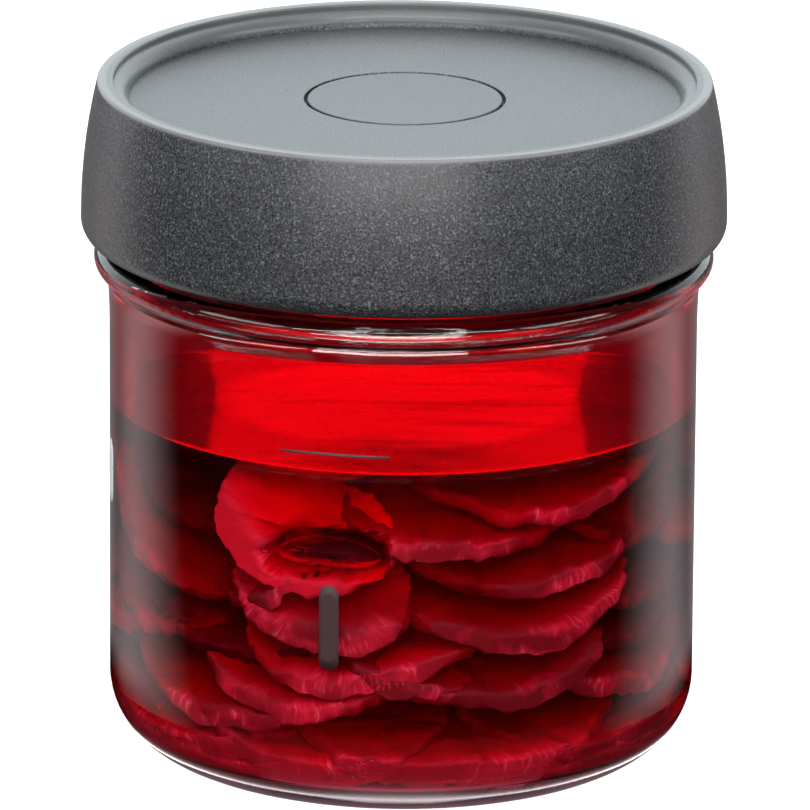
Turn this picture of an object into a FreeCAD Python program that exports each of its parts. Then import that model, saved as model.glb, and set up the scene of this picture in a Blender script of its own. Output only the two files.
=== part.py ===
import FreeCAD, Part
import math
import os
import sys

# Storage jar: a thick clear glass jar with a collar bead, closed by a tall press-on lid whose shallow top
# recess holds a flush round disc. The jar holds pickled slices in brine up to a level just under its fill line.
# Frame: millimetres, +Z up along the jar's axis, origin at the centre of the flat foot.
# Nodes: glass_jar, lid, lid_disc, brine. All are bodies of revolution about Z.

doc = FreeCAD.newDocument("storage_jar")

# ---------------------------------------------------------------- driving dimensions
sheet = doc.addObject("Spreadsheet::Sheet", "Sizes")
sheet.Label = "Sizes"

SIZES = [
    # jar, outside
    ("body_radius", 52.75, "outer radius of the straight body"),
    ("foot_corner_radius", 13.2, "rounding between foot and body"),
    ("flare_start_height", 79.0, "height where the body starts to flare"),
    ("flare_radius", 53.1, "radius at the top of the flare"),
    ("flare_end_height", 87.15, "height of the top of the flare"),
    ("flare_arc_radius", 95.1, "radius of the flare's long arc"),
    ("crease_radius", 52.72, "radius at the bottom of the crease under the bead"),
    ("crease_height", 87.8, "height of the crease"),
    ("bead_centre_radius", 52.98, "radius of the bead's arc centre from the axis"),
    ("bead_centre_height", 90.88, "height of the bead's arc centre"),
    ("bead_arc_radius", 2.53, "radius of the bead's half-round"),
    ("neck_radius", 52.4, "outer radius of the neck inside the lid"),
    ("neck_foot_height", 93.9, "height where the neck leaves the bead"),
    ("mouth_height", 116.6, "height of the jar's mouth rim"),
    ("mouth_edge_radius", 0.8, "rounding of both edges of the mouth rim"),
    # jar, inside
    ("bore_radius", 50.3, "inner radius of the jar"),
    ("floor_height", 5.6, "thickness of the jar's base"),
    ("bore_corner_radius", 10.5, "rounding between floor and wall inside"),
    # brine
    ("brine_level", 65.2, "height of the brine's surface"),
    # lid
    ("lid_height", 123.4, "height of the lid's raised rim above the foot"),
    ("lid_bottom_height", 94.95, "height of the skirt's lower edge"),
    ("skirt_radius", 57.84, "largest outer radius of the skirt"),
    ("skirt_lip_radius", 3.1, "rounding of the skirt's lower outer edge"),
    ("skirt_inner_lip_radius", 0.5, "rounding of the skirt's lower inner edge"),
    ("skirt_arc_radius", 107.8, "radius of the skirt's long convex arc"),
    ("rim_inner_radius", 52.0, "inner radius of the raised rim"),
    ("rim_outer_edge_radius", 0.6, "rounding of the rim's outer edge"),
    ("rim_inner_edge_radius", 0.4, "rounding of the rim's inner edge"),
    ("recess_height", 119.6, "height of the flat recess in the lid's top"),
    ("cove_radius", 2.8, "concave rounding between rim and recess"),
    ("pocket_radius", 18.0, "radius of the round pocket for the disc"),
    ("pocket_depth", 1.4, "depth of that pocket under the recess"),
    ("pocket_edge_radius", 0.2, "rounding of the pocket's upper edge"),
    # disc
    ("disc_radius", 17.4, "radius of the flush disc"),
    ("disc_edge_radius", 0.25, "rounding of the disc's upper edge"),
]
for row, (alias, value, words) in enumerate(SIZES, start=1):
    sheet.set("A%d" % row, alias)
    sheet.set("B%d" % row, repr(float(value)))
    sheet.set("C%d" % row, words)
    sheet.setAlias("B%d" % row, alias)
doc.recompute()


def size(alias):
    """The number that the sheet holds under this alias."""
    return float(getattr(sheet, alias))


def cell(text):
    """Turns the aliases in an expression into references to the sheet."""
    out = []
    for token in text.replace("(", " ( ").replace(")", " ) ").split():
        out.append("Sizes." + token if token[0].isalpha() else token)
    return " ".join(out)


def value_of(text):
    """The value of such an expression."""
    names = {alias: size(alias) for alias, _, _ in SIZES}
    total = 0.0
    sign = 1.0
    for token in text.split():
        if token == "+":
            sign = 1.0
        elif token == "-":
            sign = -1.0
        else:
            number = names[token] if token in names else float(token)
            total += sign * number
            sign = 1.0
    return total


def plane_of(body, role):
    for feature in body.Origin.OriginFeatures:
        if feature.Role == role:
            return feature
    raise RuntimeError("no plane " + role)


def vector(r, z):
    return FreeCAD.Vector(r, z, 0.0)


def arc_between(p, q, radius, bulge):
    """The arc of this radius from p to q. bulge +1 puts its middle to the right of p to q, -1 to the left."""
    mid = (p + q) * 0.5
    half = (q - p) * 0.5
    along = FreeCAD.Vector(half)
    along.normalize()
    right = FreeCAD.Vector(along.y, -along.x, 0.0)
    away = math.sqrt(max(radius * radius - half.Length * half.Length, 0.0))
    centre = mid - right * (away * bulge)
    return centre, centre + right * (radius * bulge)


def revolved(name, corners, edges):
    """A body of revolution about Z. corners are (r, z) expressions in the XZ plane, in order round the closed
    profile. edges holds one entry per corner for the edge that leaves it: None for a line, or (radius expression,
    bulge) for an arc."""
    body = doc.addObject("PartDesign::Body", name)
    body.Label = name
    sketch = body.newObject("Sketcher::SketchObject", name + "_profile")
    sketch.AttachmentSupport = [(plane_of(body, "XZ_Plane"), "")]
    sketch.MapMode = "FlatFace"
    places = [vector(value_of(r), value_of(z)) for r, z in corners]
    count = len(corners)
    starts, ends = [], []
    for i in range(count):
        p, q = places[i], places[(i + 1) % count]
        if edges[i] is None:
            sketch.addGeometry(Part.LineSegment(p, q), False)
            starts.append(1)
            ends.append(2)
        else:
            radius, bulge = edges[i]
            centre, middle = arc_between(p, q, value_of(radius), bulge)
            arc = Part.Arc(p, middle, q)
            sketch.addGeometry(arc, False)
            turns_left = (middle - p).cross(q - p).z > 0.0
            starts.append(1 if turns_left else 2)
            ends.append(2 if turns_left else 1)
    for i in range(count):
        j = (i + 1) % count
        sketch.addConstraint(Sketcher.Constraint("Coincident", i, ends[i], j, starts[j]))
    for i, (r, z) in enumerate(corners):
        if r == "0":
            sketch.addConstraint(Sketcher.Constraint("PointOnObject", i, starts[i], -2))
        else:
            n = sketch.addConstraint(Sketcher.Constraint("DistanceX", -1, 1, i, starts[i], places[i].x))
            sketch.setExpression("Constraints[%d]" % n, cell(r))
        if z == "0":
            sketch.addConstraint(Sketcher.Constraint("PointOnObject", i, starts[i], -1))
        else:
            n = sketch.addConstraint(Sketcher.Constraint("DistanceY", -1, 1, i, starts[i], places[i].y))
            sketch.setExpression("Constraints[%d]" % n, cell(z))
    for i in range(count):
        if edges[i] is not None:
            radius = edges[i][0]
            n = sketch.addConstraint(Sketcher.Constraint("Radius", i, value_of(radius)))
            sketch.setExpression("Constraints[%d]" % n, cell(radius))
    doc.recompute()
    turn = body.newObject("PartDesign::Revolution", name + "_turned")
    turn.Profile = sketch
    turn.ReferenceAxis = (sketch, ["V_Axis"])
    turn.Angle = 360.0
    sketch.Visibility = False
    doc.recompute()
    return body, turn


def rounded(body, base, name, rings, radius):
    """Rounds the full circles at these (r, z) places of the body."""
    names = []
    for r, z in rings:
        for number, edge in enumerate(base.Shape.Edges, start=1):
            curve = edge.Curve
            if not isinstance(curve, Part.Circle):
                continue
            if abs(curve.Radius - value_of(r)) < 1e-3 and abs(curve.Center.z - value_of(z)) < 1e-3:
                names.append("Edge%d" % number)
    if len(names) < len(rings):
        raise RuntimeError("no edge to round on " + name)
    fillet = body.newObject("PartDesign::Fillet", name)
    fillet.Base = (base, names)
    fillet.Radius = size(radius)
    fillet.setExpression("Radius", cell(radius))
    doc.recompute()
    return fillet


import Sketcher  # noqa: E402

# ---------------------------------------------------------------- glass jar
# Flat foot, round corner, straight body with a slight flare, a crease, a half-round collar bead, then the plain
# neck that the lid covers. Inside: a straight bore down to a rounded corner and a thick flat floor.
jar_corners = [
    ("0", "0"),
    ("body_radius - foot_corner_radius", "0"),
    ("body_radius", "foot_corner_radius"),
    ("body_radius", "flare_start_height"),
    ("flare_radius", "flare_end_height"),
    ("crease_radius", "crease_height"),
    ("bead_centre_radius", "bead_centre_height - bead_arc_radius"),
    ("bead_centre_radius + bead_arc_radius", "bead_centre_height"),
    ("bead_centre_radius", "bead_centre_height + bead_arc_radius"),
    ("neck_radius", "neck_foot_height"),
    ("neck_radius", "mouth_height"),
    ("bore_radius", "mouth_height"),
    ("bore_radius", "floor_height + bore_corner_radius"),
    ("bore_radius - bore_corner_radius", "floor_height"),
    ("0", "floor_height"),
]
jar_edges = [
    None,
    ("foot_corner_radius", +1),
    None,
    ("flare_arc_radius", -1),
    None,
    None,
    ("bead_arc_radius", +1),
    ("bead_arc_radius", +1),
    None,
    None,
    None,
    None,
    ("bore_corner_radius", -1),
    None,
    None,
]
jar, jar_turned = revolved("glass_jar", jar_corners, jar_edges)
rounded(
    jar,
    jar_turned,
    "glass_jar_mouth",
    [("neck_radius", "mouth_height"), ("bore_radius", "mouth_height")],
    "mouth_edge_radius",
)

# ---------------------------------------------------------------- brine
# Fills the bore from the floor to the brine's surface.
brine_corners = [
    ("0", "floor_height"),
    ("bore_radius - bore_corner_radius", "floor_height"),
    ("bore_radius", "floor_height + bore_corner_radius"),
    ("bore_radius", "brine_level"),
    ("0", "brine_level"),
]
brine_edges = [None, ("bore_corner_radius", +1), None, None, None]
brine, _ = revolved("brine", brine_corners, brine_edges)

# ---------------------------------------------------------------- lid
# Tall skirt with a long convex arc and a round lower lip, a raised rim, a cove down to the flat recess, and a
# round pocket in its middle. Its underside rests on the jar's mouth rim.
top_edge = -(size("skirt_arc_radius") - size("skirt_radius")) + math.sqrt(
    size("skirt_arc_radius") ** 2
    - (size("lid_height") - size("lid_bottom_height") - size("skirt_lip_radius")) ** 2
)
row = len(SIZES) + 1
sheet.set("A%d" % row, "rim_outer_radius")
sheet.set(
    "B%d" % row,
    "=sqrt(skirt_arc_radius ^ 2 - (lid_height - lid_bottom_height - skirt_lip_radius) ^ 2) - skirt_arc_radius + skirt_radius",
)
sheet.set("C%d" % row, "outer radius of the rim, where the skirt's arc ends")
sheet.setAlias("B%d" % row, "rim_outer_radius")
doc.recompute()
if abs(size("rim_outer_radius") - top_edge) > 1e-6:
    raise RuntimeError("the sheet's rim radius is off")
SIZES.append(("rim_outer_radius", top_edge, ""))

lid_corners = [
    ("0", "mouth_height"),
    ("skirt_radius - skirt_lip_radius - skirt_inner_lip_radius", "mouth_height"),
    (
        "skirt_radius - skirt_lip_radius - skirt_inner_lip_radius",
        "lid_bottom_height + skirt_inner_lip_radius",
    ),
    ("skirt_radius - skirt_lip_radius", "lid_bottom_height"),
    ("skirt_radius", "lid_bottom_height + skirt_lip_radius"),
    ("rim_outer_radius", "lid_height"),
    ("rim_inner_radius", "lid_height"),
    ("rim_inner_radius", "recess_height + cove_radius"),
    ("rim_inner_radius - cove_radius", "recess_height"),
    ("pocket_radius", "recess_height"),
    ("pocket_radius", "recess_height - pocket_depth"),
    ("0", "recess_height - pocket_depth"),
]
lid_edges = [
    None,
    None,
    ("skirt_inner_lip_radius", +1),
    ("skirt_lip_radius", +1),
    ("skirt_arc_radius", +1),
    None,
    None,
    ("cove_radius", +1),
    None,
    None,
    None,
    None,
]
lid, lid_turned = revolved("lid", lid_corners, lid_edges)
lid_rim = rounded(lid, lid_turned, "lid_rim_outer", [("rim_outer_radius", "lid_height")], "rim_outer_edge_radius")
lid_rim = rounded(lid, lid_rim, "lid_rim_inner", [("rim_inner_radius", "lid_height")], "rim_inner_edge_radius")
rounded(lid, lid_rim, "lid_pocket_edge", [("pocket_radius", "recess_height")], "pocket_edge_radius")

# ---------------------------------------------------------------- disc in the lid
disc_corners = [
    ("0", "recess_height - pocket_depth"),
    ("disc_radius", "recess_height - pocket_depth"),
    ("disc_radius", "recess_height"),
    ("0", "recess_height"),
]
disc, disc_turned = revolved("lid_disc", disc_corners, [None, None, None, None])
rounded(disc, disc_turned, "lid_disc_edge", [("disc_radius", "recess_height")], "disc_edge_radius")

doc.recompute()

# ---------------------------------------------------------------- checks
bad = [o.Label for o in doc.Objects if "Invalid" in o.State or "Error" in o.State]
if bad:
    print("failed objects:", bad)
    sys.exit(1)

NODES = [jar, brine, lid, disc]
for body in NODES:
    shape = body.Shape
    if shape.isNull() or not shape.isValid() or len(shape.Solids) != 1:
        print("bad shape:", body.Label)
        sys.exit(1)
    box = shape.BoundBox
    print(
        "%-10s volume %9.1f mm3  x %.2f..%.2f  z %.2f..%.2f"
        % (body.Label, shape.Volume, box.XMin, box.XMax, box.ZMin, box.ZMax)
    )

# No two solids may share space.
for i, a in enumerate(NODES):
    for b in NODES[i + 1 :]:
        shared = a.Shape.common(b.Shape).Volume
        if shared > 0.01:
            print("overlap:", a.Label, b.Label, shared)
            sys.exit(1)

os.makedirs("parts", exist_ok=True)
for body in NODES:
    body.Shape.exportStep("parts/%s.step" % body.Label)
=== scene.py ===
import math
import random

import bpy
import bmesh
from mathutils import Matrix, Vector, noise


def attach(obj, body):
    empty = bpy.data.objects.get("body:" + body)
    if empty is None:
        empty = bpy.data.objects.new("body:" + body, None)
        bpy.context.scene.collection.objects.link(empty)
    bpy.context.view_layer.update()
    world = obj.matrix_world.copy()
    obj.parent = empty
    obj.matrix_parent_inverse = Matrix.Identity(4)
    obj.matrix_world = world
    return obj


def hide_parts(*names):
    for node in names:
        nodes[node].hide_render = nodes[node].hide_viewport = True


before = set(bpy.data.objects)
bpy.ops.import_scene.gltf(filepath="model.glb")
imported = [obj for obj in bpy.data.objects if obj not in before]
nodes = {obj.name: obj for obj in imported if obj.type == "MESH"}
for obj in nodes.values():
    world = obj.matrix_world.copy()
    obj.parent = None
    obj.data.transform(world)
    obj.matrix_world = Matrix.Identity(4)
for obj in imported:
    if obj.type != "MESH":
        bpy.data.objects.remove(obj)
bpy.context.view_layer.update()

MM = 0.001

# ------------------------------------------------------------------ helpers


def link(ob):
    bpy.context.scene.collection.objects.link(ob)
    return ob


def mesh_object(name, verts, faces, smooth=True):
    me = bpy.data.meshes.new(name)
    me.from_pydata(verts, [], faces)
    me.validate()
    me.update()
    if smooth:
        me.polygons.foreach_set("use_smooth", [True] * len(me.polygons))
    return link(bpy.data.objects.new(name, me))


def lathe(profile, segments=256, closed_axis=True):
    """Vertices and faces of a profile of (r, z) points in mm turned about Z. Points with r 0 become poles."""
    verts, faces, rows = [], [], []
    for r, z in profile:
        if r < 1e-9:
            rows.append([len(verts)])
            verts.append((0.0, 0.0, z * MM))
        else:
            start = len(verts)
            for k in range(segments):
                a = 2 * math.pi * k / segments
                verts.append((r * MM * math.cos(a), r * MM * math.sin(a), z * MM))
            rows.append(list(range(start, start + segments)))
    for a, b in zip(rows, rows[1:]):
        if len(a) == 1 and len(b) == 1:
            continue
        for k in range(segments):
            j = (k + 1) % segments
            if len(a) == 1:
                faces.append((a[0], b[j], b[k]))
            elif len(b) == 1:
                faces.append((a[k], a[j], b[0]))
            else:
                faces.append((a[k], a[j], b[j], b[k]))
    return verts, faces


def outward(ob):
    bm = bmesh.new()
    bm.from_mesh(ob.data)
    bmesh.ops.recalc_face_normals(bm, faces=bm.faces)
    bm.to_mesh(ob.data)
    bm.free()


class Nodes:
    """Small helper round a material's node tree."""

    def __init__(self, name):
        self.mat = bpy.data.materials.new(name)
        self.mat.use_nodes = True
        self.tree = self.mat.node_tree
        self.tree.nodes.clear()
        self.out = self.add("ShaderNodeOutputMaterial")

    def add(self, kind, **values):
        node = self.tree.nodes.new(kind)
        for key, value in values.items():
            setattr(node, key, value)
        return node

    def put(self, node, **inputs):
        for key, value in inputs.items():
            node.inputs[key.replace("_", " ")].default_value = value
        return node

    def join(self, a, b):
        self.tree.links.new(a, b)

    def ramp(self, source, stops, interpolation="LINEAR"):
        node = self.add("ShaderNodeValToRGB")
        node.color_ramp.interpolation = interpolation
        while len(node.color_ramp.elements) < len(stops):
            node.color_ramp.elements.new(0.5)
        for element, (at, colour) in zip(node.color_ramp.elements, stops):
            element.position = at
            element.color = (*colour, 1.0) if len(colour) == 3 else colour
        self.join(source, node.inputs["Fac"])
        return node

    def mix(self, factor, a, b, kind="MIX"):
        node = self.add("ShaderNodeMix", data_type="RGBA", blend_type=kind)
        for socket, value in ((node.inputs[0], factor), (node.inputs[6], a), (node.inputs[7], b)):
            if isinstance(value, bpy.types.NodeSocket):
                self.join(value, socket)
            else:
                socket.default_value = value if not isinstance(value, tuple) or len(value) == 4 else (*value, 1.0)
        return node.outputs[2]

    def maths(self, operation, a, b=0.0, clamp=False):
        node = self.add("ShaderNodeMath", operation=operation, use_clamp=clamp)
        for socket, value in ((node.inputs[0], a), (node.inputs[1], b)):
            if isinstance(value, bpy.types.NodeSocket):
                self.join(value, socket)
            else:
                socket.default_value = value
        return node.outputs[0]

    def noise(self, vector, scale, detail=2.0, roughness=0.5, distortion=0.0):
        node = self.add("ShaderNodeTexNoise")
        self.put(node, Scale=scale, Detail=detail, Roughness=roughness, Distortion=distortion)
        self.join(vector, node.inputs["Vector"])
        return node

    def bump(self, height, strength, distance, normal=None):
        node = self.add("ShaderNodeBump")
        self.put(node, Strength=strength, Distance=distance)
        self.join(height, node.inputs["Height"])
        if normal is not None:
            self.join(normal, node.inputs["Normal"])
        return node.outputs["Normal"]

    def place(self):
        return self.add("ShaderNodeTexCoord").outputs["Object"]


def assign(ob, mat):
    ob.data.materials.clear()
    ob.data.materials.append(mat)


# ------------------------------------------------------------------ camera
ELEVATION, DISTANCE, AIM_Z = math.radians(16.953), 1.9, 0.06242
camera = link(bpy.data.objects.new("camera", bpy.data.cameras.new("camera")))
camera.location = (0.0004, -DISTANCE * math.cos(ELEVATION), AIM_Z + DISTANCE * math.sin(ELEVATION))
camera.rotation_euler = (
    Matrix.Rotation(math.pi / 2 - ELEVATION, 3, "X") @ Matrix.Rotation(0.0069, 3, "Z")
).to_euler()
camera.data.sensor_width = 36.0
camera.data.lens = 10559.0 * 36.0 / 810.0
camera.data.clip_start = 0.05
camera.data.clip_end = 50.0
bpy.context.scene.camera = camera
bpy.context.scene.view_settings.view_transform = "Standard"


# ------------------------------------------------------------------ materials
def clear_shader(n, bsdf, shade):
    """Lamps reach what lies inside: a shadow ray goes straight through with this tint."""
    straight = n.put(n.add("ShaderNodeBsdfTransparent"), Color=(*shade, 1.0))
    path = n.add("ShaderNodeLightPath")
    both = n.add("ShaderNodeMixShader")
    n.join(path.outputs["Is Shadow Ray"], both.inputs[0])
    n.join(bsdf.outputs[0], both.inputs[1])
    n.join(straight.outputs[0], both.inputs[2])
    n.join(both.outputs[0], n.out.inputs["Surface"])


def glass_material():
    n = Nodes("clear_glass")
    p = n.put(
        n.add("ShaderNodeBsdfPrincipled"),
        Base_Color=(0.985, 0.99, 0.99, 1.0),
        Roughness=0.0,
        IOR=1.5,
        Transmission_Weight=1.0,
    )
    place = n.place()
    wave = n.noise(place, 38.0, 2.0, 0.5)
    # The flared outer wall leans out faster just under the bead.
    spot = n.add("ShaderNodeSeparateXYZ")
    n.join(place, spot.inputs[0])
    flat = n.add("ShaderNodeCombineXYZ")
    n.join(spot.outputs["X"], flat.inputs[0])
    n.join(spot.outputs["Y"], flat.inputs[1])
    reach = n.add("ShaderNodeVectorMath", operation="LENGTH")
    n.join(flat.outputs[0], reach.inputs[0])
    t = n.maths("MULTIPLY", n.maths("SUBTRACT", spot.outputs["Z"], 0.0851), 1 / 0.0027, True)
    lean = n.maths("MULTIPLY", n.maths("MULTIPLY", t, t), 0.5 * 0.34 * 0.0027)
    lean = n.maths("MULTIPLY", lean, n.maths("GREATER_THAN", reach.outputs["Value"], 0.0515))
    waves = n.bump(wave.outputs["Fac"], 0.05, 0.002)
    n.join(n.bump(lean, 1.0, 1.0, waves), p.inputs["Normal"])
    clear_shader(n, p, (0.95, 0.95, 0.95))
    return n.mat


def absorption(n):
    density = 520.0
    node = n.put(
        n.add("ShaderNodeVolumeAbsorption"),
        Color=(1.0 - 24.0 / density, 0.0, 0.42, 1.0),
        Density=density,
    )
    n.join(node.outputs[0], n.out.inputs["Volume"])


def brine_material():
    n = Nodes("red_brine")
    p = n.put(
        n.add("ShaderNodeBsdfPrincipled"),
        Base_Color=(1.0, 1.0, 1.0, 1.0),
        Roughness=0.0,
        IOR=1.34,
        Transmission_Weight=1.0,
        Specular_Tint=(0.2, 0.2, 0.2, 1.0),
    )
    clear_shader(n, p, (1.0, 1.0, 1.0))
    absorption(n)
    return n.mat


def surface_material():
    """The brine's free surface, with a slight ripple; its colour paints darker streaks and a darker outer band into
    what it mirrors and lets through.
    """
    n = Nodes("red_brine_surface")
    g = n.put(
        n.add("ShaderNodeBsdfGlass"), Color=(1.0, 1.0, 1.0, 1.0), Roughness=0.09, IOR=1.34
    )
    place = n.place()
    reach = n.add("ShaderNodeVectorMath", operation="LENGTH")
    flat = n.add("ShaderNodeVectorMath", operation="MULTIPLY")
    flat.inputs[1].default_value = (1.0, 1.0, 0.0)
    n.join(place, flat.inputs[0])
    n.join(flat.outputs[0], reach.inputs[0])
    # painted shade: the surface is tinted darker beyond 29 to 35 mm from the axis, and in streaks within it
    ring = n.add("ShaderNodeMapRange", interpolation_type="SMOOTHSTEP")
    n.put(ring, From_Min=0.029, From_Max=0.035, To_Min=0.0, To_Max=1.0)
    n.join(reach.outputs["Value"], ring.inputs["Value"])
    stretched = n.add("ShaderNodeVectorMath", operation="MULTIPLY")
    stretched.inputs[1].default_value = (16.0, 120.0, 1.0)
    n.join(place, stretched.inputs[0])
    streaks = n.noise(stretched.outputs[0], 1.0, 2.0, 0.5)
    painted_streaks = n.ramp(streaks.outputs["Fac"], [(0.52, (1.0, 1.0, 1.0)), (0.66, (0.74, 0.74, 0.74))])
    n.join(
        n.mix(ring.outputs["Result"], painted_streaks.outputs[0], (0.72, 0.72, 0.72)),
        g.inputs["Color"],
    )
    ripple = n.noise(place, 45.0, 2.0, 0.5)
    n.join(n.bump(ripple.outputs["Fac"], 0.10, 0.001), g.inputs["Normal"])
    clear_shader(n, g, (1.0, 0.8, 0.8))
    absorption(n)
    return n.mat


def lid_material(name, base, speck):
    """Fine moulded grain: a dark plastic with pale specks, with a painted sheen on the flat rim and a painted
    highlight on its outer edge.
    """
    n = Nodes(name)
    p = n.put(n.add("ShaderNodeBsdfPrincipled"), Roughness=0.36, IOR=1.5)
    place = n.place()
    fine = n.noise(place, 2600.0, 2.0, 0.65)
    soft = n.noise(place, 60.0, 3.0, 0.5)
    grain = n.ramp(
        fine.outputs["Fac"],
        [(0.42, (0.0, 0.0, 0.0)), (0.58, (0.25, 0.25, 0.25)), (0.69, (1.0, 1.0, 1.0))],
    )
    low = tuple(c * (1 - speck) for c in base)
    high = tuple(c * (1 + 5.0 * speck) for c in base)
    colour = n.mix(grain.outputs[0], low, high)
    tint = n.mix(soft.outputs["Fac"], (0.9, 0.9, 0.9), (1.1, 1.1, 1.1))
    colour = n.mix(1.0, colour, tint, "MULTIPLY")
    height = n.add("ShaderNodeSeparateXYZ")
    n.join(place, height.inputs[0])
    spread = n.add("ShaderNodeCombineXYZ")
    n.join(height.outputs["X"], spread.inputs[0])
    n.join(height.outputs["Y"], spread.inputs[1])
    reach = n.add("ShaderNodeVectorMath", operation="LENGTH")
    n.join(spread.outputs[0], reach.inputs[0])

    def step(source, start, end):
        node = n.add("ShaderNodeMapRange", interpolation_type="SMOOTHSTEP")
        n.put(node, From_Min=start, From_Max=end, To_Min=0.0, To_Max=1.0)
        n.join(source, node.inputs["Value"])
        return node.outputs["Result"]

    # The flat rim and the hollow inside it are smooth and get a painted sheen (a paler colour); the outer edge gets a
    # painted highlight.
    hollow = n.maths("SUBTRACT", 1.0, step(reach.outputs["Value"], 0.0528, 0.0533))
    hollow = n.maths("MULTIPLY", hollow, step(height.outputs["Z"], 0.11975, 0.1210))
    rim = n.maths("MAXIMUM", hollow, step(height.outputs["Z"], 0.1223, 0.1231))
    # painted sheen: the paler colour of the flat rim and hollow
    painted_sheen = n.mix(1.0, (0.090, 0.093, 0.096), tint, "MULTIPLY")
    colour = n.mix(rim, colour, painted_sheen)
    # painted highlight: a pale line along the rim's outer top edge
    edge = n.maths("MULTIPLY", step(height.outputs["Z"], 0.1227, 0.1230), step(reach.outputs["Value"], 0.0531, 0.0535))
    colour = n.mix(n.maths("MULTIPLY", edge, 0.13), colour, (0.62, 0.63, 0.63))
    n.join(colour, p.inputs["Base Color"])
    rough = n.add("ShaderNodeMapRange")
    n.put(rough, From_Min=0.3, From_Max=0.7, To_Min=0.26, To_Max=0.36)
    n.join(fine.outputs["Fac"], rough.inputs["Value"])
    n.join(rough.outputs["Result"], p.inputs["Roughness"])
    relief = n.maths("MULTIPLY", fine.outputs["Fac"], n.maths("SUBTRACT", 1.0, n.maths("MULTIPLY", rim, 0.8)))
    n.join(n.bump(relief, 0.5, 0.00009), p.inputs["Normal"])
    n.join(p.outputs[0], n.out.inputs["Surface"])
    return n.mat


def beet_material():
    n = Nodes("beetroot_flesh")
    p = n.put(n.add("ShaderNodeBsdfPrincipled"), Roughness=0.5, IOR=1.4)
    p.inputs["Specular IOR Level"].default_value = 0.12
    local = n.add("ShaderNodeAttribute", attribute_name="slice_place")
    rim = n.add("ShaderNodeAttribute", attribute_name="slice_rim")
    press = n.add("ShaderNodeAttribute", attribute_name="slice_press")
    rings = n.noise(local.outputs["Vector"], 110.0, 3.0, 0.55)
    fibres = n.noise(rim.outputs["Vector"], 1500.0, 3.0, 0.6)
    blotch = n.noise(local.outputs["Vector"], 75.0, 3.0, 0.6)
    flesh = n.ramp(
        rings.outputs["Fac"],
        [(0.3, (0.34, 0.002, 0.008)), (0.5, (0.50, 0.003, 0.013)), (0.72, (0.64, 0.005, 0.020))],
    )
    frayed = n.ramp(
        fibres.outputs["Fac"],
        [(0.36, (0.44, 0.004, 0.022)), (0.56, (0.52, 0.012, 0.04)), (0.74, (0.74, 0.15, 0.19))],
    )
    spots = n.ramp(blotch.outputs["Fac"], [(0.46, (0.0, 0.0, 0.0)), (0.62, (1.0, 1.0, 1.0))])
    touch = n.maths("MULTIPLY", press.outputs["Fac"], spots.outputs[0], True)
    crimson = n.mix(press.outputs["Fac"], flesh.outputs[0], (0.38, 0.003, 0.014))
    # the tone attribute paints light and shade into the flesh colour
    tone = n.add("ShaderNodeAttribute", attribute_name="slice_tone_and_shade")
    crimson = n.mix(1.0, crimson, tone.outputs["Color"], "MULTIPLY")
    paler = n.mix(1.0, frayed.outputs[0], n.mix(0.5, tone.outputs["Color"], (0.9, 0.9, 0.9)), "MULTIPLY")
    colour = n.mix(touch, crimson, paler)
    n.join(colour, p.inputs["Base Color"])
    n.join(n.bump(fibres.outputs["Fac"], 0.25, 0.0004), p.inputs["Normal"])
    n.join(p.outputs[0], n.out.inputs["Surface"])
    return n.mat


# ------------------------------------------------------------------ carried-over CAD nodes
assign(nodes["glass_jar"], glass_material())
assign(nodes["lid"], lid_material("lid_anthracite", (0.048, 0.051, 0.055), 0.6))
assign(nodes["lid_disc"], lid_material("disc_anthracite", (0.040, 0.046, 0.052), 0.2))

# ------------------------------------------------------------------ brine
BORE, FLOOR, LEVEL, CORNER, INTO = 50.3, 5.6, 65.2, 10.5, 0.25


def surface_height(r):
    """The liquid creeps up the glass: a shallow bowl with a small meniscus at the wall."""
    return LEVEL - 0.9 + 0.0006 * max(0.0, r - 16.0) ** 2 + 0.15 * math.exp(-(BORE + INTO - r) / 0.7)


def brine_profile():
    pts = [(0.0, FLOOR - INTO)]
    r0 = BORE - CORNER
    for i in range(1, 9):
        pts.append((r0 * i / 8, FLOOR - INTO))
    rr = CORNER + INTO
    for i in range(1, 25):
        a = math.pi / 2 * i / 24
        pts.append((r0 + rr * math.sin(a), FLOOR + CORNER - rr * math.cos(a)))
    for i in range(1, 30):
        z = FLOOR + CORNER + (surface_height(BORE + INTO) - FLOOR - CORNER) * i / 29
        pts.append((BORE + INTO, z))
    top = []
    for i in range(0, 25):
        s = i / 24
        r = BORE + INTO - s * 6.0
        top.append((r, surface_height(r)))
    pts += top[1:]
    r1 = top[-1][0]
    for i in range(1, 30):
        r = r1 * (1 - i / 30)
        pts.append((r, surface_height(r)))
    pts.append((0.0, surface_height(0.0)))
    return pts


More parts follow.
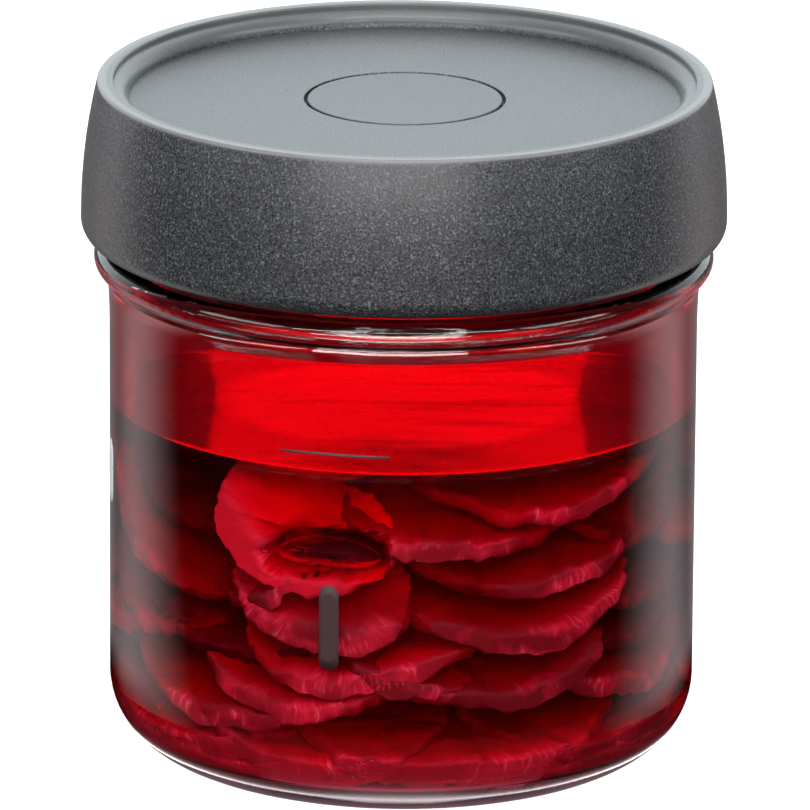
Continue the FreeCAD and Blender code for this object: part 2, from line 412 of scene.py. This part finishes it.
def bubble(az, rad, z, half_width, half_depth, half_height, seed, segments=40):
    """A closed shell for trapped air, in mm, bent along the wall and a little uneven."""
    rnd = random.Random(seed)
    verts, faces = [], []
    phase = rnd.uniform(0, 6.28)
    rows = segments // 2
    for i in range(rows + 1):
        t = math.pi * i / rows
        for k in range(segments if 0 < i < rows else 1):
            b = 2 * math.pi * k / segments
            u, w, v = math.sin(t) * math.cos(b), math.sin(t) * math.sin(b), math.cos(t)
            uneven = 1 + 0.05 * math.sin(2.0 * b + phase) + 0.04 * math.sin(3 * t + phase)
            along = half_width * u * uneven
            up = half_height * v * uneven + 0.10 * half_height * math.sin(1.7 * u + phase)
            r = rad + half_depth * w
            a = math.radians(az) + along / rad
            verts.append((r * MM * math.sin(a), -r * MM * math.cos(a), (z + up) * MM))
    def at(i, k):
        if i == 0:
            return 0
        if i == rows:
            return len(verts) - 1
        return 1 + (i - 1) * segments + k % segments
    for i in range(rows):
        for k in range(segments):
            quad = [at(i, k), at(i + 1, k), at(i + 1, k + 1), at(i, k + 1)]
            faces.append(tuple(dict.fromkeys(quad)))
    return verts, faces


verts, faces = lathe(brine_profile(), 256)
brine = mesh_object("brine_liquid", verts, faces)
outward(brine)
assign(brine, brine_material())
brine.data.materials.append(surface_material())
for face in brine.data.polygons:
    if face.normal.z > 0.2 and face.center.z > (LEVEL - 1.0) * MM:
        face.material_index = 1
# Trapped air: shells turned inside out within the liquid.
BUBBLES = [(-15.4, 47.3, 49.4, 8.9, 2.2, 2.75, 3), (-28.6, 48.9, 49.2, 0.9, 0.9, 0.9, 4)]
bm = bmesh.new()
bm.from_mesh(brine.data)
for spec in BUBBLES:
    v, f = bubble(*spec)
    made = [bm.verts.new(p) for p in v]
    shell = [bm.faces.new([made[q] for q in face]) for face in f]
    bmesh.ops.recalc_face_normals(bm, faces=shell)
    centre = sum((p.co for p in made), Vector()) / len(made)
    top = max(shell, key=lambda g: g.calc_center_median().z)
    if (top.calc_center_median() - centre).dot(top.normal) > 0:
        bmesh.ops.reverse_faces(bm, faces=shell)
    for g in shell:
        g.smooth = True
        g.material_index = 0
bm.to_mesh(brine.data)
bm.free()
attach(brine, "root")
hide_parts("brine")


# ------------------------------------------------------------------ beetroot slices
def slice_mesh(spec, seed, seg):
    """One crinkled slice as (verts, faces, places, rims, presses, tones).

    spec: azimuth and height of the edge that rests on the glass, lean and roll in degrees,
    half width, half depth and thickness in mm, how far it is pressed out, curl and tone; the tone paints light and
    shade into the colour."""
    rnd = random.Random(seed)
    az, z_edge, lean, roll, rx, ry, thick, push, curl, tone = spec
    verts, faces, places, rims, presses, tones = [], [], [], [], [], []
    half = thick / 2
    prof = [(t, half) for t in (0.0, 0.25, 0.5, 0.7, 0.84, 0.93)]
    for a in (70, 40, 14, -14, -40, -70):
        prof.append((0.965 + 0.035 * math.cos(math.radians(a)), half * math.sin(math.radians(a))))
    prof += [(t, -half) for t in (0.93, 0.84, 0.7, 0.5, 0.25, 0.0)]
    phase = [rnd.uniform(0, 2 * math.pi) for _ in range(8)]
    teeth = rnd.choice((27, 30, 32))
    shift = Vector((rnd.uniform(-50, 50), rnd.uniform(-50, 50), rnd.uniform(-50, 50)))
    a = math.radians(az)
    outwards = Vector((math.sin(a), -math.cos(a), 0))
    side = Vector((math.cos(a), math.sin(a), 0))
    base = Matrix((side, outwards, Vector((0, 0, 1)))).transposed()
    turn = base @ Matrix.Rotation(math.radians(-lean), 3, "X") @ Matrix.Rotation(math.radians(roll), 3, "Y")
    tilt = math.radians(lean)
    rad = 50.1 + push - ry * math.cos(tilt)
    centre = outwards * rad + Vector((0, 0, z_edge + ry * math.sin(tilt)))
    rows = []
    for i, (t, h) in enumerate(prof):
        row = []
        for k in range(1 if t < 1e-6 else seg):
            b = 2 * math.pi * k / seg
            crinkle = math.sin(teeth * b + 1.5 * math.sin(2 * b + phase[6]) + phase[3])
            outline = 1 + 0.045 * math.sin(2 * b + phase[0]) + 0.030 * math.sin(3 * b + phase[1])
            outline += 0.018 * math.sin(7 * b + phase[2]) + 0.011 * crinkle
            x, y = rx * t * outline * math.cos(b), ry * t * outline * math.sin(b)
            wave = 0.8 * t * t * math.sin(3 * b + phase[4]) + 0.4 * t**4 * math.sin(9 * b + phase[5])
            wave += 0.45 * t**8 * crinkle * (0.6 + 0.4 * math.sin(5 * b + phase[7]))
            zz = h + wave + curl * (x * x / rx - 0.5 * y * abs(y) / ry) / 8
            p = Vector((x, y, zz))
            p += noise.noise_vector((p + shift) * 0.35) * (0.2 + 0.5 * t)
            p += noise.noise_vector((p + shift) * 1.1) * (0.22 * t**4)
            w = turn @ p + centre
            r = math.hypot(w.x, w.y)
            limit = 50.15
            low = 15.9 - w.z
            if low > 0:
                limit = 50.15 - 10.5 + math.sqrt(max(10.35**2 - min(low, 10.3) ** 2, 0.0))
            press = min(1.0, max(0.0, (r - (limit - 1.7)) / 1.6))
            turned = math.degrees(math.atan2(w.x, -w.y))
            if abs(turned + 15.4) < 12.5 and abs(w.z - 49.6) < 4.2:
                limit = 44.6
            if r > limit:
                w.x, w.y = w.x * limit / r, w.y * limit / r
            w.z = min(max(w.z, 5.85), 63.6)
            row.append(len(verts))
            verts.append((w.x * MM, w.y * MM, w.z * MM))
            places.append(((x + shift.x) * MM, (y + shift.y) * MM, h * MM))
            rims.append(((b * rx + shift.x) * MM, (t * ry * 0.12) * MM, (h * 0.12 + shift.y) * MM))
            presses.append(press)
            # the pocket behind the large bubble gets painted shade
            pocket = math.hypot((turned + 15.4) / 13.0, (w.z - 49.6) / 4.0)
            shade = 0.06 + 0.94 * min(1.0, max(0.0, (pocket - 0.95) / 0.20))
            # and the lowest edges get painted light, as if lit through the glass from the pale table
            painted_lift = 1.0 + 1.7 * min(1.0, max(0.0, (13.0 - w.z) / 7.0))
            # while the top edges, just under the surface, get painted shade
            painted_lift -= 0.6 * min(1.0, max(0.0, (w.z - 59.5) / 3.5))
            tones.append(tone * painted_lift * (shade if r > 38.0 else 1.0))
        rows.append(row)
    for r0, r1 in zip(rows, rows[1:]):
        for k in range(seg):
            j = (k + 1) % seg
            if len(r0) == 1:
                faces.append((r0[0], r1[k], r1[j]))
            elif len(r1) == 1:
                faces.append((r0[j], r0[k], r1[0]))
            else:
                faces.append((r0[k], r1[k], r1[j], r0[j]))
    return verts, faces, places, rims, presses, tones


# azimuth, height of the resting edge, lean, roll, half width, half depth, thickness, push, curl, tone (painted light
# and shade: how much light reaches the slice)
SLICES = [
    (37, 55.6, 15, -3, 22, 18, 3.0, 0.8, 0.5, 0.39),
    (13, 49.6, 27, 2, 20, 15, 3.0, 1.0, 0.3, 0.31),
    (30, 41.6, 30, -3, 21, 16, 3.0, 1.0, 0.4, 0.25),
    (25, 32.4, 34, -1, 23, 16, 3.2, 1.4, 0.5, 0.25),
    (19, 21.8, 33, -3, 22, 16, 3.2, 0.8, 0.6, 0.20),
    (53, 19.6, 30, 3, 21, 16, 3.2, 0.8, 0.4, 0.23),
    (57, 46.5, 28, 6, 16, 15, 3.0, -1.6, 0.3, 0.20),
    (58, 34.0, 28, 6, 18, 16, 3.0, -1.4, 0.3, 0.16),
    (50, 27.5, 26, 0, 20, 16, 3.0, -2.0, 0.3, 0.13),
    (14, 8.2, 24, 0, 26, 18, 3.8, 0.8, 0.3, 0.38),
    (50, 9.2, 24, -3, 23, 17, 3.4, 0.4, 0.3, 0.28),
    (-22, 42.6, 60, 12, 17.5, 11.5, 3.0, 1.4, 0.5, 0.82),
    (-29, 39.5, 30, -18, 12, 11, 2.6, 0.6, -0.6, 0.20),
    (-17, 31.6, 52, 2, 15.5, 12.5, 3.4, 1.6, 0.4, 0.30),
    (-58, 38.0, 42, 24, 19, 15, 3.0, 0.4, 0.4, 0.26),
    (-52, 50.0, 26, 10, 19, 15, 3.0, -3.0, 0.4, 0.11),
    (-64, 28.5, 32, 6, 18, 15, 3.0, -0.6, 0.3, 0.23),
    (-40, 27.5, 30, 2, 20, 15, 3.0, -1.2, 0.3, 0.10),
    (-9, 25.4, 32, -4, 21, 15, 3.2, 1.2, 0.4, 0.38),
    (-24, 19.8, 32, 5, 19, 15, 3.2, 1.2, 0.4, 0.31),
    (4, 24.0, 34, 14, 14, 13, 2.8, 0.8, 0.4, 0.23),
    (-43, 15.4, 30, 2, 21, 16, 3.4, 1.4, 0.4, 0.31),
    (-54, 8.0, 24, 0, 23, 17, 3.8, 1.4, 0.3, 0.40),
    (-38, 6.6, 17, 0, 20, 17, 3.2, 1.5, 0.3, 0.48),
    (33, 6.6, 17, 0, 20, 17, 3.2, 1.5, 0.3, 0.43),
    (-74, 6.6, 17, 0, 20, 17, 3.2, 1.5, 0.3, 0.43),
    (70, 6.6, 17, 0, 20, 17, 3.2, 1.5, 0.3, 0.39),
    (-22, 8.8, 24, 4, 22, 17, 3.6, 0.8, 0.3, 0.34),
]
VISIBLE = len(SLICES)
rnd = random.Random(7)
for layer in range(7):
    for k in range(4):
        az = 90 * k + 40 * layer + rnd.uniform(-15, 15) + 100
        in_front = abs((az + 180) % 360 - 180) < 88
        SLICES.append(
            (
                az,
                8.0 + layer * 7.4 + rnd.uniform(-1.5, 1.5),
                rnd.uniform(-6, 12) if in_front else rnd.uniform(20, 30),
                rnd.uniform(-9, 9),
                rnd.uniform(19, 22),
                rnd.uniform(15, 17),
                rnd.uniform(3.2, 4.0),
                rnd.uniform(-10, -6) if in_front else rnd.uniform(0.2, 1.2),
                rnd.uniform(-0.3, 0.6),
                # tone: painted shade, darkest for the hidden slices at the front, which lie further in
                0.2 if in_front else rnd.uniform(0.4, 0.65),
            )
        )
for k in range(10):
    az = 105 + 16.7 * k + rnd.uniform(-5, 5)
    z_edge = 10.0 + (37 * k) % 46 + rnd.uniform(-2, 2)
    SLICES.append((az, z_edge, rnd.uniform(20, 30), rnd.uniform(-9, 9), 20, 16, 3.4, 1.0, 0.3, rnd.uniform(0.45, 0.7)))

all_verts, all_faces, all_places, all_rims, all_presses, all_tones = [], [], [], [], [], []
for i, spec in enumerate(SLICES):
    v, f, pl, ri, pr, to = slice_mesh(spec, 100 + i, 128 if i < VISIBLE else 64)
    n0 = len(all_verts)
    all_verts += v
    all_faces += [tuple(n0 + q for q in face) for face in f]
    all_places += pl
    all_rims += ri
    all_presses += pr
    all_tones += to
beets = mesh_object("beetroot_slices", all_verts, all_faces)
print("slices", len(SLICES), "triangles", sum(len(face) - 2 for face in all_faces))
for name, values in (("slice_place", all_places), ("slice_rim", all_rims)):
    attr = beets.data.attributes.new(name, "FLOAT_VECTOR", "POINT")
    attr.data.foreach_set("vector", [c for p in values for c in p])
for name, values in (("slice_press", all_presses), ("slice_tone_and_shade", all_tones)):
    attr = beets.data.attributes.new(name, "FLOAT", "POINT")
    attr.data.foreach_set("value", values)
assign(beets, beet_material())
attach(beets, "root")

# ------------------------------------------------------------------ prints on the outer wall
WALL = 52.75


def print_material(name, colour, rough):
    n = Nodes(name)
    p = n.put(n.add("ShaderNodeBsdfPrincipled"), Roughness=rough, IOR=1.45)
    ink = n.noise(n.place(), 1800.0, 2.0, 0.5)
    dark = tuple(0.8 * c for c in colour)
    n.join(n.mix(ink.outputs["Fac"], dark, tuple(min(1.0, 1.2 * c) for c in colour)), p.inputs["Base Color"])
    n.join(p.outputs[0], n.out.inputs["Surface"])
    return n.mat


def rounded_print(name, az, z, half_width, half_height, corner, mat, proud=0.05):
    """A thin closed patch with round corners, bent onto the wall. Sizes in mm along the wall."""
    ring = []
    for cx, cz, start in (
        (half_width - corner, half_height - corner, 0),
        (-(half_width - corner), half_height - corner, 90),
        (-(half_width - corner), -(half_height - corner), 180),
        (half_width - corner, -(half_height - corner), 270),
    ):
        for i in range(9):
            a = math.radians(start + 90 * i / 8)
            ring.append((cx + corner * math.cos(a), cz + corner * math.sin(a)))
    verts, faces = [], []
    layers = []
    for r in (WALL - 0.06, WALL + proud):
        for scale in (1.0, 0.75, 0.5, 0.25):
            start = len(verts)
            for x, y in ring:
                a = math.radians(az) + x * scale / WALL
                verts.append((r * MM * math.sin(a), -r * MM * math.cos(a), (z + y * scale) * MM))
            layers.append(start)
        a = math.radians(az)
        verts.append((r * MM * math.sin(a), -r * MM * math.cos(a), z * MM))
        layers.append(len(verts) - 1)
    count = len(ring)
    for side in (0, 5):
        for j in range(3):
            for k in range(count):
                m = (k + 1) % count
                p0, p1 = layers[side + j], layers[side + j + 1]
                faces.append((p0 + k, p0 + m, p1 + m, p1 + k))
        for k in range(count):
            faces.append((layers[side + 3] + k, layers[side + 3] + (k + 1) % count, layers[side + 4]))
    for k in range(count):
        m = (k + 1) % count
        faces.append((layers[0] + k, layers[0] + m, layers[5] + m, layers[5] + k))
    ob = mesh_object(name, verts, faces)
    outward(ob)
    assign(ob, mat)
    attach(ob, "root")
    return ob


dark_ink = print_material("dark_grey_print", (0.056, 0.022, 0.025), 0.6)
pale_ink = print_material("white_print", (0.74, 0.75, 0.75), 0.5)
rounded_print("fill_line_print", -13.1, 68.7, 9.95, 0.22, 0.2, dark_ink)
rounded_print("plain_bar_print", -14.0, 36.9, 1.8, 7.8, 1.75, dark_ink)
rounded_print("plain_patch_print", -88.0, 51.9, 7.6, 5.9, 2.6, pale_ink)

# ------------------------------------------------------------------ stage: floor, lamps, surroundings
me = bpy.data.meshes.new("floor")
me.from_pydata([(-4, -4, 0), (4, -4, 0), (4, 4, 0), (-4, 4, 0)], [], [(0, 1, 2, 3)])
floor = link(bpy.data.objects.new("floor", me))
n = Nodes("pale_floor")
p = n.put(n.add("ShaderNodeBsdfPrincipled"), Base_Color=(0.5, 0.5, 0.5, 1.0), Roughness=0.9)
p.inputs["Specular IOR Level"].default_value = 0.0
p.inputs["Emission Color"].default_value = (1.0, 1.0, 1.0, 1.0)
p.inputs["Emission Strength"].default_value = 0.8
spread = n.add("ShaderNodeSeparateXYZ")
n.join(n.place(), spread.inputs[0])
# Round the jar the table is dark in front and bright at both sides, as between two low softboxes.
turn = n.maths("ARCTAN2", n.maths("ABSOLUTE", spread.outputs["X"]), n.maths("SUBTRACT", -0.06, spread.outputs["Y"]))


def band(source, start, end, low, high):
    node = n.add("ShaderNodeMapRange", interpolation_type="SMOOTHSTEP")
    n.put(node, From_Min=start, From_Max=end, To_Min=low, To_Max=high)
    n.join(source, node.inputs["Value"])
    return node.outputs["Result"]


rise = band(turn, math.radians(101), math.radians(124), 0.003, 1.04)
fall = n.maths("ADD", band(turn, math.radians(126), math.radians(147), 1.0, 0.24), band(turn, math.radians(164), math.radians(174), 0.0, 0.40))
glow = n.put(n.add("ShaderNodeEmission"), Color=(1.0, 0.90, 0.93, 1.0))
reach = n.add("ShaderNodeVectorMath", operation="LENGTH")
n.join(n.place(), reach.inputs[0])
sides = n.maths("MULTIPLY", rise, fall)
sides = n.maths("MULTIPLY", sides, band(reach.outputs["Value"], 0.072, 0.095, 0.0, 1.0))
# Close round the foot the pale table shines up into the glass, in a narrower ring at its sides.
sideways = n.maths("DIVIDE", n.maths("ABSOLUTE", spread.outputs["X"]), reach.outputs["Value"])
gain = band(sideways, 0.1, 0.50, 10.0, 30.0)
ring = n.maths("ADD", n.maths("MULTIPLY", n.maths("SUBTRACT", reach.outputs["Value"], 0.0482), gain), 0.482)
foot = n.ramp(
    ring,
    [(0.464, (0.03,) * 3), (0.482, (1.0,) * 3), (0.492, (0.50,) * 3), (0.508, (0.17,) * 3), (0.527, (0.08,) * 3), (0.545, (0.04,) * 3), (0.575, (0.01,) * 3), (0.65, (0.0,) * 3)],
)
# Beyond the dark front stretch the table is pale again; it lights the upper half of the lid's skirt.
angle = n.maths("ARCTAN2", spread.outputs["X"], n.maths("MULTIPLY", spread.outputs["Y"], -1.0))
ahead = n.maths(
    "MULTIPLY",
    band(angle, math.radians(-52), math.radians(-22), 0.0, 1.0),
    band(angle, math.radians(14), math.radians(36), 1.0, 0.0),
)
away = n.maths("MULTIPLY", band(reach.outputs["Value"], 0.36, 0.60, 0.0, 0.7), ahead)
sides = n.maths("ADD", sides, away)
n.join(n.maths("ADD", sides, n.maths("MULTIPLY", foot.outputs[0], 6.75)), glow.inputs["Strength"])
# Seen through the glass and the brine the table glows a painted dim red, with painted light close round the foot and a
# painted shadow right under the jar.
near = band(reach.outputs["Value"], 0.05, 0.11, 1.0, 0.0)
far = band(spread.outputs["Y"], 0.10, 0.19, 0.0, 1.0)
through = n.add("ShaderNodeEmission")
seen = n.mix(far, (0.045, 0.003, 0.004), (0.17, 0.001, 0.004))
seen = n.mix(near, seen, (0.45, 0.06, 0.09))
# painted shadow: darker right under the jar
under = band(reach.outputs["Value"], 0.036, 0.041, 1.0, 0.0)
n.join(n.mix(under, seen, (0.12, 0.05, 0.06)), through.inputs["Color"])
path = n.add("ShaderNodeLightPath")
inside = n.maths("GREATER_THAN", path.outputs["Transmission Depth"], 0.5)
table = n.add("ShaderNodeMixShader")
n.join(inside, table.inputs[0])
n.join(glow.outputs[0], table.inputs[1])
n.join(through.outputs[0], table.inputs[2])
both = n.add("ShaderNodeMixShader")
n.join(path.outputs["Is Camera Ray"], both.inputs[0])
n.join(table.outputs[0], both.inputs[1])
n.join(p.outputs[0], both.inputs[2])
n.join(both.outputs[0], n.out.inputs["Surface"])
assign(floor, n.mat)


def lamp(name, place, aim, size, radiance, colour=(1, 1, 1)):
    """An area lamp of this radiance, whatever its size."""
    data = bpy.data.lights.new(name, "AREA")
    data.shape = "RECTANGLE"
    data.size, data.size_y = size
    data.energy = radiance * math.pi * size[0] * size[1]
    data.color = colour
    ob = link(bpy.data.objects.new(name, data))
    ob.location = place
    ob.rotation_euler = (Vector(aim) - Vector(place)).to_track_quat("-Z", "Y").to_euler()
    ob.visible_camera = False
    return ob


RED = (1.0, 0.0004, 0.0012)
for name, x, z, size in (("back_card_low", -0.0012, 0.098, (0.098, 0.040)), ("back_card_high", -0.0013, 0.195, (0.0815, 0.154))):
    card = lamp(name, (x, 0.20, z), (x, -1.0, z), size, 4.4, RED)
    card.visible_diffuse = False
    card.visible_glossy = False
    # It only shows where the liquid's surface mirrors it, never straight through the glass.
    card.data.use_nodes = True
    tree = card.data.node_tree
    tree.nodes.clear()
    beam = tree.nodes.new("ShaderNodeEmission")
    mirrored = tree.nodes.new("ShaderNodeLightPath")
    shown = tree.nodes.new("ShaderNodeMath")
    shown.operation = "GREATER_THAN"
    shown.inputs[1].default_value = 0.5
    tree.links.new(mirrored.outputs["Glossy Depth"], shown.inputs[0])
    tree.links.new(shown.outputs[0], beam.inputs["Strength"])
    tree.links.new(beam.outputs[0], tree.nodes.new("ShaderNodeOutputLight").inputs["Surface"])
lamp("top_softbox", (0.0, -0.1, 1.6), (0, -0.1, 0.05), (1.2, 1.3), 2.4)
lamp("overhead_front", (0.0, -0.5, 1.45), (0, 0, 0.09), (1.0, 0.16), 13.0)
lamp("front_low_softbox", (-0.09, -1.06, 0.32), (-0.01, 0, 0.115), (1.2, 0.10), 16.0)
lamp("side_strip_left", (-1.3, -0.75, 0.36), (0, 0, 0.09), (1.3, 0.05), 8.0)
lamp("side_strip_right", (1.3, -0.75, 0.36), (0, 0, 0.09), (1.3, 0.05), 8.0)
lamp("side_high_left", (-1.2, -0.5, 0.95), (0, 0, 0.09), (0.9, 0.35), 5.0)
lamp("side_high_right", (1.2, -0.5, 0.95), (0, 0, 0.09), (0.9, 0.35), 5.0)
lamp("front_high_strip", (0.0, -1.1, 1.2), (0, 0, 0.09), (2.2, 0.08), 20.0)

world = bpy.data.worlds.new("studio")
bpy.context.scene.world = world
world.use_nodes = True
wt = world.node_tree
wt.nodes.clear()


def backdrop(colour):
    node = wt.nodes.new("ShaderNodeBackground")
    node.inputs["Color"].default_value = (*colour, 1)
    return node


def either(factor, a, b):
    node = wt.nodes.new("ShaderNodeMixShader")
    wt.links.new(factor, node.inputs[0])
    wt.links.new(a.outputs[0], node.inputs[1])
    wt.links.new(b.outputs[0], node.inputs[2])
    return node


out = wt.nodes.new("ShaderNodeOutputWorld")
path = wt.nodes.new("ShaderNodeLightPath")
way = wt.nodes.new("ShaderNodeTexCoord")
parts = wt.nodes.new("ShaderNodeSeparateXYZ")
wt.links.new(way.outputs["Generated"], parts.inputs[0])
behind = wt.nodes.new("ShaderNodeMapRange")
behind.interpolation_type = "SMOOTHSTEP"
behind.inputs["From Min"].default_value = 0.2
behind.inputs["From Max"].default_value = 0.8
wt.links.new(parts.outputs["Y"], behind.inputs["Value"])
deep = wt.nodes.new("ShaderNodeMath")
deep.operation = "GREATER_THAN"
deep.inputs[1].default_value = 0.5
wt.links.new(path.outputs["Transmission Depth"], deep.inputs[0])
open_air = either(behind.outputs["Result"], backdrop((0.05, 0.05, 0.05)), backdrop((1.6, 1.78, 1.85)))
mirrored = wt.nodes.new("ShaderNodeMath")
mirrored.operation = "GREATER_THAN"
mirrored.inputs[1].default_value = 0.5
wt.links.new(path.outputs["Glossy Depth"], mirrored.inputs[0])
red_glow = either(mirrored.outputs[0], backdrop((0.20, 0.004, 0.008)), backdrop((1.15, 0.004, 0.022)))
in_glass = either(behind.outputs["Result"], backdrop((0.06, 0.01, 0.012)), red_glow)
lit = either(deep.outputs[0], open_air, in_glass)
final = either(path.outputs["Is Camera Ray"], lit, backdrop((0.9, 0.9, 0.9)))
wt.links.new(final.outputs[0], out.inputs["Surface"])
